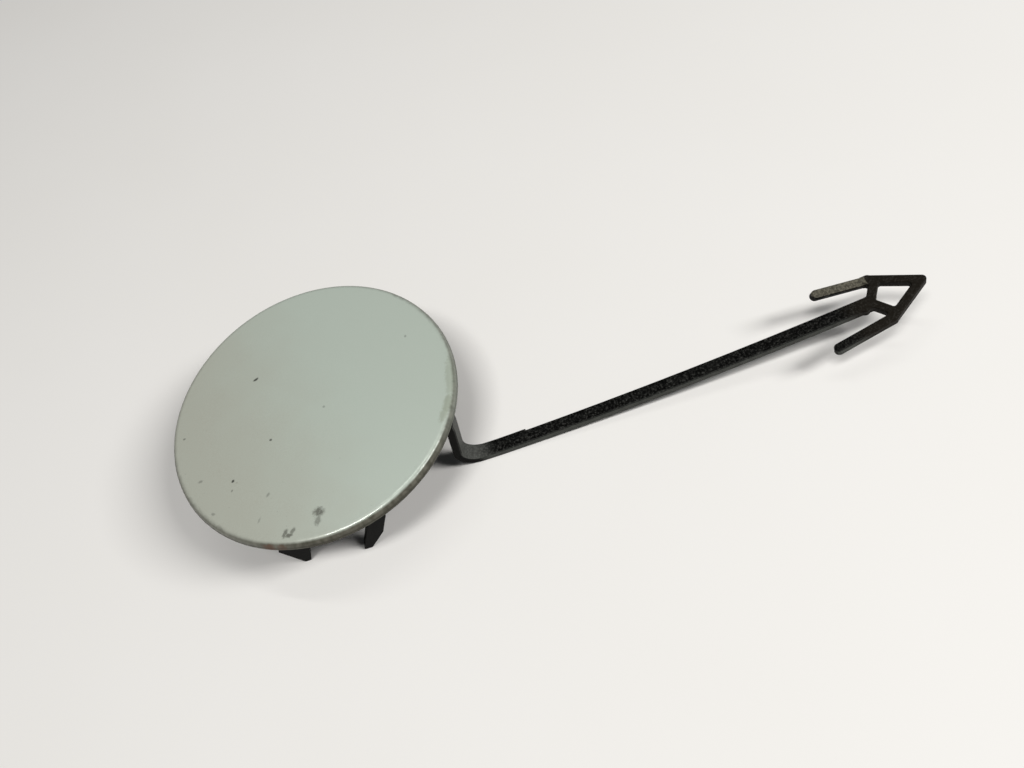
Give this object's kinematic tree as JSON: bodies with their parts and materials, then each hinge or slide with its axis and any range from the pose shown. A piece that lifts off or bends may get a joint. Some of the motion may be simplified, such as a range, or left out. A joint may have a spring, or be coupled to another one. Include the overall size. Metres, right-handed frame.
{
  "type": "tow eye cover",
  "caption": "Round painted bumper cover for a towing socket, with snap clips behind it and a bent tether strap that ends in a barbed arrowhead.",
  "frame": {"origin": "on the cap's axis, in the plane of the seat behind its rim", "axes": "+Z out of the painted face, +X along the tether strap, the strap on the -Y side of the axis"},
  "size_m": [0.1759, 0.0698, 0.0219],
  "materials": {
    "painted_plastic": "worn pale silver grey-green paint on the face and rim, bare fine-grained black plastic behind"
  },
  "bodies": {
    "root": {"tow_eye_cover": "painted_plastic"}
  },
  "joints": []
}
